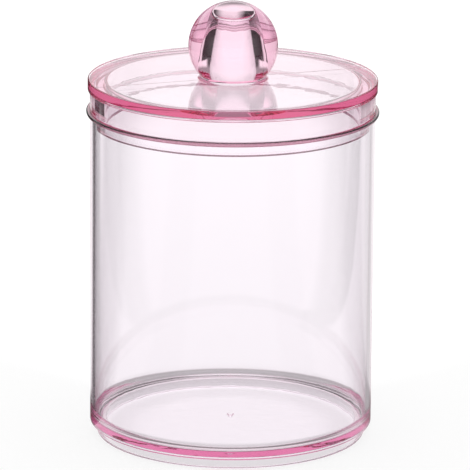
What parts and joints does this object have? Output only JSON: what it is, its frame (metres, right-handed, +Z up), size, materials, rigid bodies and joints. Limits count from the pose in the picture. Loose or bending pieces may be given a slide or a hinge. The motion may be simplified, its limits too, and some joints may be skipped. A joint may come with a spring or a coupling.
{
  "type": "cotton swab storage jar",
  "caption": "Round clear pink-tinted jar for cotton swabs, with a foot ring, a lipped mouth and a lift-off plug lid that carries a cored ball knob.",
  "frame": {"origin": "centre of the jar's base, on the table under the foot ring", "axes": "+Z up along the jar's axis, towards the knob"},
  "size_m": [0.072, 0.072, 0.109],
  "materials": {
    "clear_pink_jar": "clear, polished, tinted pink",
    "clear_pink_lid": "clear, polished, tinted pink"
  },
  "bodies": {
    "jar": {"jar_body": "clear_pink_jar"},
    "lid": {"lid": "clear_pink_lid"}
  },
  "joints": [
    {"name": "lid_lift", "type": "slide", "parent": "jar", "child": "lid", "axis": [0, 0, 1], "range_m": [0, 0.09]}
  ]
}
